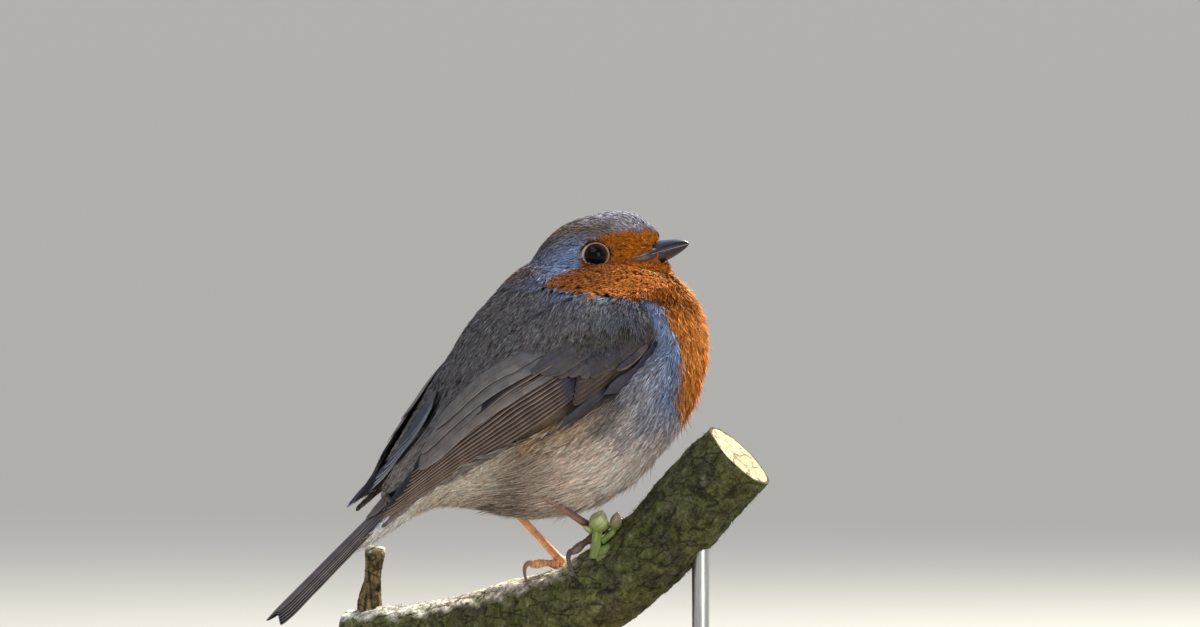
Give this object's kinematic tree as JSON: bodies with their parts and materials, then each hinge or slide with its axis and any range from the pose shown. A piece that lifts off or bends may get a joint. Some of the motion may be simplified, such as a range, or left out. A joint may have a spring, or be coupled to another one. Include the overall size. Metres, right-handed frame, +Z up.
{
  "type": "european robin",
  "caption": "Life-size European robin perched on a short cut length of branch, head turned to its right, carried by rods on a round display base.",
  "frame": {"origin": "centre of the flat underside of the stand's round base", "axes": "+X the way the bird's body faces, +Y the bird's left side, +Z up"},
  "size_m": [0.1206, 0.112, 0.1327],
  "materials": {
    "plumage": "soft feathers, olive brown above, grey white below",
    "orange_plumage": "soft feathers, rufous orange",
    "flight_feathers": "smooth vanes, brown with paler edges",
    "horn": "satin dark horn",
    "eye": "wet gloss",
    "leg_skin": "scaly skin, pinkish brown",
    "bark": "rough mossy bark, pale sawn ends",
    "bud": "waxy green leaf bud",
    "stand_wood": "satin varnish over dark walnut",
    "stand_steel": "brushed"
  },
  "bodies": {
    "root": {"head": "plumage", "neck": "orange_plumage", "trunk": "plumage", "bill_upper": "horn", "bill_lower": "horn", "tail": "flight_feathers", "eye_left": "eye", "wing_left_coverts": "flight_feathers", "wing_left_secondaries": "flight_feathers", "wing_left_primaries": "flight_feathers", "shank_left": "leg_skin", "toe_left_inner": "leg_skin", "claw_left_inner": "horn", "toe_left_middle": "leg_skin", "claw_left_middle": "horn", "toe_left_outer": "leg_skin", "claw_left_outer": "horn", "toe_left_hind": "leg_skin", "claw_left_hind": "horn", "eye_right": "eye", "wing_right_coverts": "flight_feathers", "wing_right_secondaries": "flight_feathers", "wing_right_primaries": "flight_feathers", "shank_right": "leg_skin", "toe_right_inner": "leg_skin", "claw_right_inner": "horn", "toe_right_middle": "leg_skin", "claw_right_middle": "horn", "toe_right_outer": "leg_skin", "claw_right_outer": "horn", "toe_right_hind": "leg_skin", "claw_right_hind": "horn", "perch_branch": "bark", "perch_bud": "bud", "stand_rod_1": "stand_steel", "stand_rod_2": "stand_steel", "stand_base": "stand_wood"}
  },
  "joints": []
}
